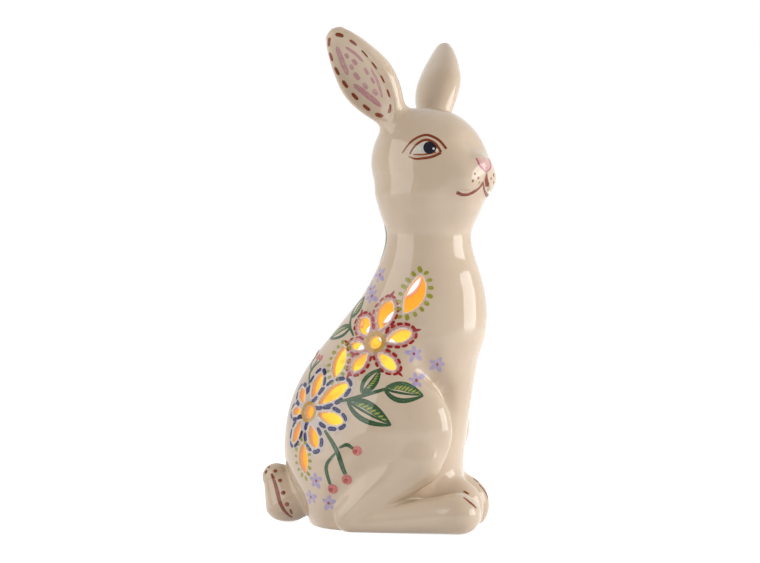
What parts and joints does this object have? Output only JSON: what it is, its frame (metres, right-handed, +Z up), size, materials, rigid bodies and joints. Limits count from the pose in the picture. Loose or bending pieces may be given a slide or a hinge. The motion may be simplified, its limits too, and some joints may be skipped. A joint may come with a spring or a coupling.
{
  "type": "ceramic rabbit figurine",
  "caption": "Seated hollow glazed ceramic rabbit with flower and leaf openings pierced through its flanks, lit from inside by a battery light unit that plugs into its base.",
  "frame": {"origin": "middle of the round opening in the base, on the standing plane", "axes": "+Z up; the rabbit sits facing -Y and its head is turned to its right, towards -X"},
  "size_m": [0.1268, 0.1603, 0.3292],
  "materials": {
    "glaze": "gloss",
    "housing_plastic": "satin",
    "silicone": "matte",
    "steel": "satin",
    "board": "satin",
    "led_lens": "gloss",
    "diffuser": "satin",
    "chip_plastic": "matte",
    "resistor_ceramic": "matte",
    "cell_can": "satin",
    "contact_strip": "satin",
    "switch_plastic": "matte",
    "knob_plastic": "satin",
    "red_insulation": "satin",
    "black_insulation": "satin",
    "white_insulation": "satin"
  },
  "bodies": {
    "rabbit": {"ceramic_rabbit": "glaze"},
    "light_unit": {"light_housing": "housing_plastic", "top_cover": "housing_plastic", "gasket_ring": "silicone", "cover_screws": "steel", "led_board": "board", "led_1": "led_lens", "led_2": "led_lens", "led_3": "led_lens", "diffuser_dome": "diffuser", "timer_chip": "chip_plastic", "resistors": "resistor_ceramic", "battery_1": "cell_can", "battery_2": "cell_can", "battery_3": "cell_can", "contact_positive": "contact_strip", "contact_negative": "contact_strip", "contact_bridge_left": "contact_strip", "contact_bridge_right": "contact_strip", "switch_body": "switch_plastic", "wire_red": "red_insulation", "wire_black": "black_insulation", "switch_wires": "white_insulation"},
    "door": {"battery_door": "housing_plastic"},
    "knob": {"switch_knob": "knob_plastic"}
  },
  "joints": [
    {"name": "light_unit_slide", "type": "slide", "parent": "rabbit", "child": "light_unit", "axis": [0, 0, -1], "range_m": [0, 0.06]},
    {"name": "door_hinge", "type": "hinge", "parent": "light_unit", "child": "door", "pos_m": [0, -0.0175, 0.00165], "axis": [-1, 0, 0], "range_deg": [0, 95]},
    {"name": "knob_slide", "type": "slide", "parent": "light_unit", "child": "knob", "axis": [1, 0, 0], "range_m": [-0.0025, 0.0025]}
  ]
}
